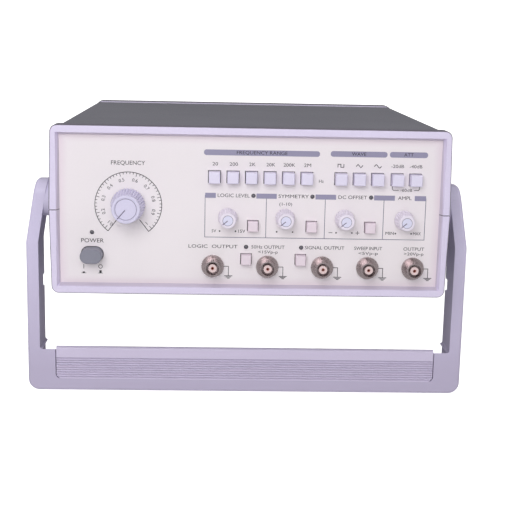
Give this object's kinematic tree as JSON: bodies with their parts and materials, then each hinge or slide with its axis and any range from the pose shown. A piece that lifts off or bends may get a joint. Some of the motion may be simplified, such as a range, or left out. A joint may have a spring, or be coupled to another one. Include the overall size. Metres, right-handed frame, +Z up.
{
  "type": "function generator",
  "caption": "Bench function generator in a plastic case: dial knob, push-button rows, small knobs, bayonet sockets and a swing handle that props it up.",
  "frame": {"origin": "centre of the bounding box's bottom face, on the surface the part stands on when it leans on its handle", "axes": "+X to the right as seen from the front, the front faces -Y, +Z up"},
  "size_m": [0.3172, 0.2736, 0.2092],
  "materials": {
    "bezel_plastic": "satin moulded, pale lavender",
    "cover_plastic": "fine textured, dark grey",
    "panel_face": "printed overlay, warm off-white",
    "rear_plate": "fine textured dark grey paint",
    "power_button_plastic": "satin grey",
    "button_plastic": "satin moulded, pale lavender",
    "knob_plastic": "satin moulded, pale lavender",
    "socket_nickel": "nickel plated",
    "socket_insulator": "smooth white",
    "contact_metal": "plated",
    "screw_steel": "zinc plated",
    "lamp_lens": "unlit lamp, dark",
    "circuit_board": "green solder mask",
    "core_steel": "varnished laminations",
    "coil_wire": "enamelled copper",
    "inlet_plastic": "black",
    "foot_rubber": "black",
    "hub_plastic": "satin moulded",
    "handle_plastic": "satin moulded, grey lavender",
    "grip_plastic": "satin moulded, ribbed",
    "switch_plastic": "black",
    "control_housing": "pressed steel can",
    "standoff_plastic": "natural nylon"
  },
  "bodies": {
    "case": {"front_bezel_upper": "bezel_plastic", "front_bezel_lower": "bezel_plastic", "top_cover": "cover_plastic", "bottom_cover": "cover_plastic", "rear_bezel_upper": "bezel_plastic", "rear_bezel_lower": "bezel_plastic", "front_panel": "panel_face", "logic_output_socket": "socket_nickel", "line_output_socket": "socket_nickel", "signal_output_socket": "socket_nickel", "sweep_input_socket": "socket_nickel", "main_output_socket": "socket_nickel", "socket_insulators": "socket_insulator", "socket_contacts": "contact_metal", "socket_nuts": "screw_steel", "indicator_lamps": "lamp_lens", "range_switches": "switch_plastic", "wave_switches": "switch_plastic", "attenuator_switches": "switch_plastic", "function_switches": "switch_plastic", "power_switch": "switch_plastic", "potentiometers": "control_housing", "control_board": "circuit_board", "main_board": "circuit_board", "board_standoffs": "standoff_plastic", "transformer_core": "core_steel", "transformer_coil": "coil_wire", "rear_panel": "rear_plate", "mains_inlet": "inlet_plastic", "inlet_pins": "contact_metal", "fuse_drawer": "inlet_plastic", "inlet_screws": "screw_steel", "rubber_feet": "foot_rubber", "case_screws": "screw_steel", "handle_hubs": "hub_plastic", "handle_screws": "screw_steel"},
    "handle": {"handle_frame": "handle_plastic", "handle_grip": "grip_plastic"},
    "range_button_20": {"range_button_20": "button_plastic"},
    "range_button_200": {"range_button_200": "button_plastic"},
    "range_button_2k": {"range_button_2k": "button_plastic"},
    "range_button_20k": {"range_button_20k": "button_plastic"},
    "range_button_200k": {"range_button_200k": "button_plastic"},
    "range_button_2m": {"range_button_2m": "button_plastic"},
    "wave_button_square": {"wave_button_square": "button_plastic"},
    "wave_button_triangle": {"wave_button_triangle": "button_plastic"},
    "wave_button_sine": {"wave_button_sine": "button_plastic"},
    "attenuator_button_20db": {"attenuator_button_20db": "button_plastic"},
    "attenuator_button_40db": {"attenuator_button_40db": "button_plastic"},
    "level_button": {"level_button": "button_plastic"},
    "symmetry_button": {"symmetry_button": "button_plastic"},
    "offset_button": {"offset_button": "button_plastic"},
    "line_output_button": {"line_output_button": "button_plastic"},
    "signal_output_button": {"signal_output_button": "button_plastic"},
    "power_button": {"power_button": "power_button_plastic"},
    "frequency_knob": {"frequency_knob": "knob_plastic"},
    "level_knob": {"level_knob": "knob_plastic"},
    "symmetry_knob": {"symmetry_knob": "knob_plastic"},
    "offset_knob": {"offset_knob": "knob_plastic"},
    "amplitude_knob": {"amplitude_knob": "knob_plastic"}
  },
  "joints": [
    {"name": "handle_swing", "type": "hinge", "parent": "case", "child": "handle", "pos_m": [0, -0.05874, 0.13261], "axis": [1, 0, 0], "range_deg": [-225, 45]},
    {"name": "range_button_20_press", "type": "slide", "parent": "case", "child": "range_button_20", "axis": [0, 0.9058, -0.4237], "range_m": [0, 0.003]},
    {"name": "range_button_200_press", "type": "slide", "parent": "case", "child": "range_button_200", "axis": [0, 0.9058, -0.4237], "range_m": [0, 0.003]},
    {"name": "range_button_2k_press", "type": "slide", "parent": "case", "child": "range_button_2k", "axis": [0, 0.9058, -0.4237], "range_m": [0, 0.003]},
    {"name": "range_button_20k_press", "type": "slide", "parent": "case", "child": "range_button_20k", "axis": [0, 0.9058, -0.4237], "range_m": [0, 0.003]},
    {"name": "range_button_200k_press", "type": "slide", "parent": "case", "child": "range_button_200k", "axis": [0, 0.9058, -0.4237], "range_m": [0, 0.003]},
    {"name": "range_button_2m_press", "type": "slide", "parent": "case", "child": "range_button_2m", "axis": [0, 0.9058, -0.4237], "range_m": [0, 0.003]},
    {"name": "wave_button_square_press", "type": "slide", "parent": "case", "child": "wave_button_square", "axis": [0, 0.9058, -0.4237], "range_m": [0, 0.003]},
    {"name": "wave_button_triangle_press", "type": "slide", "parent": "case", "child": "wave_button_triangle", "axis": [0, 0.9058, -0.4237], "range_m": [0, 0.003]},
    {"name": "wave_button_sine_press", "type": "slide", "parent": "case", "child": "wave_button_sine", "axis": [0, 0.9058, -0.4237], "range_m": [0, 0.003]},
    {"name": "attenuator_button_20db_press", "type": "slide", "parent": "case", "child": "attenuator_button_20db", "axis": [0, 0.9058, -0.4237], "range_m": [0, 0.003]},
    {"name": "attenuator_button_40db_press", "type": "slide", "parent": "case", "child": "attenuator_button_40db", "axis": [0, 0.9058, -0.4237], "range_m": [0, 0.003]},
    {"name": "level_button_press", "type": "slide", "parent": "case", "child": "level_button", "axis": [0, 0.9058, -0.4237], "range_m": [0, 0.003]},
    {"name": "symmetry_button_press", "type": "slide", "parent": "case", "child": "symmetry_button", "axis": [0, 0.9058, -0.4237], "range_m": [0, 0.003]},
    {"name": "offset_button_press", "type": "slide", "parent": "case", "child": "offset_button", "axis": [0, 0.9058, -0.4237], "range_m": [0, 0.003]},
    {"name": "line_output_button_press", "type": "slide", "parent": "case", "child": "line_output_button", "axis": [0, 0.9058, -0.4237], "range_m": [0, 0.003]},
    {"name": "signal_output_button_press", "type": "slide", "parent": "case", "child": "signal_output_button", "axis": [0, 0.9058, -0.4237], "range_m": [0, 0.003]},
    {"name": "power_button_press", "type": "slide", "parent": "case", "child": "power_button", "axis": [0, 0.9058, -0.4237], "range_m": [0, 0.003]},
    {"name": "frequency_knob_turn", "type": "hinge", "parent": "case", "child": "frequency_knob", "pos_m": [-0.0824, -0.11169, 0.16103], "axis": [0, 0.9058, -0.4237], "range_deg": [0, 278]},
    {"name": "level_knob_turn", "type": "hinge", "parent": "case", "child": "level_knob", "pos_m": [-0.0153, -0.11483, 0.15432], "axis": [0, 0.9058, -0.4237], "range_deg": [0, 270]},
    {"name": "symmetry_knob_turn", "type": "hinge", "parent": "case", "child": "symmetry_knob", "pos_m": [0.0234, -0.11483, 0.15432], "axis": [0, 0.9058, -0.4237], "range_deg": [0, 270]},
    {"name": "offset_knob_turn", "type": "hinge", "parent": "case", "child": "offset_knob", "pos_m": [0.0638, -0.11483, 0.15432], "axis": [0, 0.9058, -0.4237], "range_deg": [0, 270]},
    {"name": "amplitude_knob_turn", "type": "hinge", "parent": "case", "child": "amplitude_knob", "pos_m": [0.1043, -0.11483, 0.15432], "axis": [0, 0.9058, -0.4237], "range_deg": [0, 270]}
  ]
}
